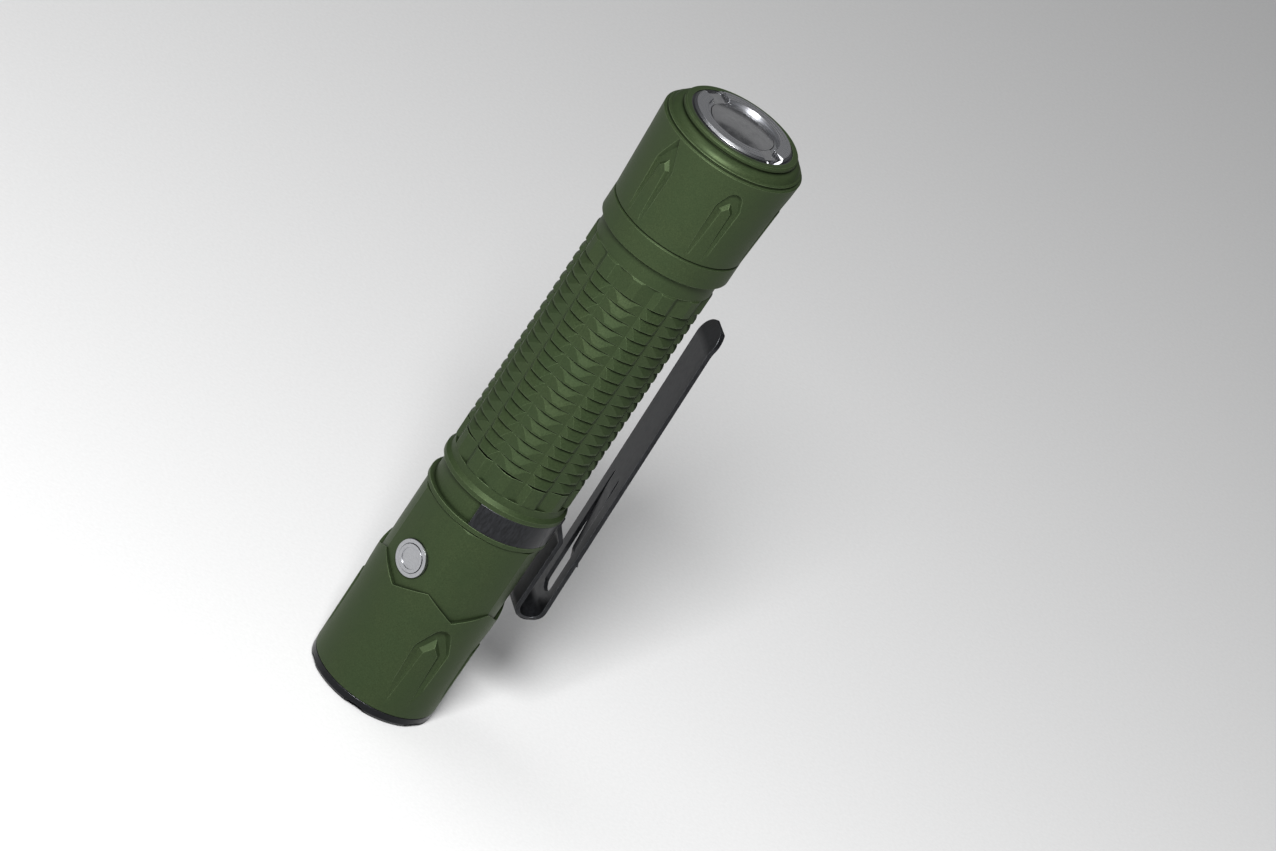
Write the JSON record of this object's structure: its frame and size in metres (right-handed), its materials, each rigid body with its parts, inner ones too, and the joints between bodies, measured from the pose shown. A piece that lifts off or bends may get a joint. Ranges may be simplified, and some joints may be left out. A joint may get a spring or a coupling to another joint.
{
  "type": "tactical flashlight",
  "caption": "Slim metal tactical flashlight with a scalloped steel bezel, ridged grip tube, steel pocket clip, side switch and an unscrewing tail cap with a domed press button.",
  "frame": {"origin": "centre of the bezel's front face, which the light stands on", "axes": "+Z along the light towards its tail, +X towards the pocket clip, +Y by the right-hand rule; the side switch looks out 210 degrees round from +X towards +Y"},
  "size_m": [0.0368, 0.0288, 0.1363],
  "materials": {
    "green_anodised": "matt hard anodised, olive green",
    "black_steel": "black coated steel, satin",
    "clip_steel": "black coated spring steel, satin",
    "polished_steel": "fine satin with polished edges",
    "coated_glass": "clear, coated",
    "mirror_aluminium": "vacuum metallised",
    "black_rubber": "matt",
    "white_plastic": "matt",
    "phosphor": "silicone over yellow phosphor",
    "copper_board": "copper core under white solder mask",
    "wire_sleeve": "silicone sleeve",
    "circuit_board": "solder mask",
    "ferrite": "moulded",
    "ceramic": "fired, tinned ends",
    "bare_aluminium": "turned",
    "gold_spring": "gold plated",
    "black_plastic": "moulded",
    "cell_metal": "nickel plated",
    "cell_wrap": "shrink film",
    "white_paper": "fish paper",
    "nickel": "nickel plated"
  },
  "bodies": {
    "light": {"bezel_ring": "black_steel", "lens_oring": "black_rubber", "lens": "coated_glass", "reflector": "mirror_aluminium", "led_centering_ring": "white_plastic", "led_emitter": "phosphor", "led_board": "copper_board", "led_leads": "wire_sleeve", "head_housing": "green_anodised", "driver_board": "circuit_board", "driver_inductor": "ferrite", "driver_chip": "black_plastic", "driver_capacitors": "ceramic", "driver_ring": "bare_aluminium", "front_contact_spring": "gold_spring", "side_switch_board": "circuit_board", "side_switch_dome": "nickel", "side_switch_seal": "black_rubber", "side_switch_bezel": "polished_steel", "battery_tube": "green_anodised", "front_oring": "black_rubber", "tail_oring": "black_rubber"},
    "side_button": {"side_button": "polished_steel"},
    "clip": {"pocket_clip": "clip_steel"},
    "cell": {"cell_can": "cell_metal", "cell_sleeve": "cell_wrap", "cell_top_insulator": "white_paper", "cell_positive_button": "nickel"},
    "tail_cap": {"tail_cap_housing": "green_anodised", "tail_ring_nut": "bare_aluminium", "tail_switch_board": "circuit_board", "tail_contact_spring": "gold_spring", "tail_switch_body": "black_plastic", "tail_magnet": "nickel", "tail_button_boot": "black_rubber", "tail_ring_insulator": "black_plastic", "tail_contact_ring": "polished_steel"},
    "tail_button": {"tail_button": "polished_steel", "tail_switch_plunger": "black_plastic"}
  },
  "joints": [
    {"name": "cap_travel", "type": "slide", "parent": "light", "child": "cell", "axis": [0, 0, 1], "range_m": [0, 0.004], "deforming": ["front_contact_spring"]},
    {"name": "cap_turn", "type": "hinge", "parent": "cell", "child": "tail_cap", "pos_m": [0, 0, 0.113], "axis": [0, 0, 1], "range_deg": [0, 1440]},
    {"name": "tail_button_press", "type": "slide", "parent": "tail_cap", "child": "tail_button", "axis": [0, 0, -1], "range_m": [0, 0.0015], "stiffness_N_per_m": 2000, "springref_m": -0.001, "deforming": ["tail_button_boot"]},
    {"name": "side_button_press", "type": "slide", "parent": "light", "child": "side_button", "axis": [0.866, 0.5, 0], "range_m": [0, 0.0004], "stiffness_N_per_m": 4000, "springref_m": -0.0003},
    {"name": "clip_turn", "type": "hinge", "parent": "light", "child": "clip", "pos_m": [0, 0, 0.0474], "axis": [0, 0, 1], "continuous": true}
  ],
  "couplings": [
    {"joint": "cap_turn", "follows": "cap_travel", "rad_per_m": 6283.2}
  ]
}
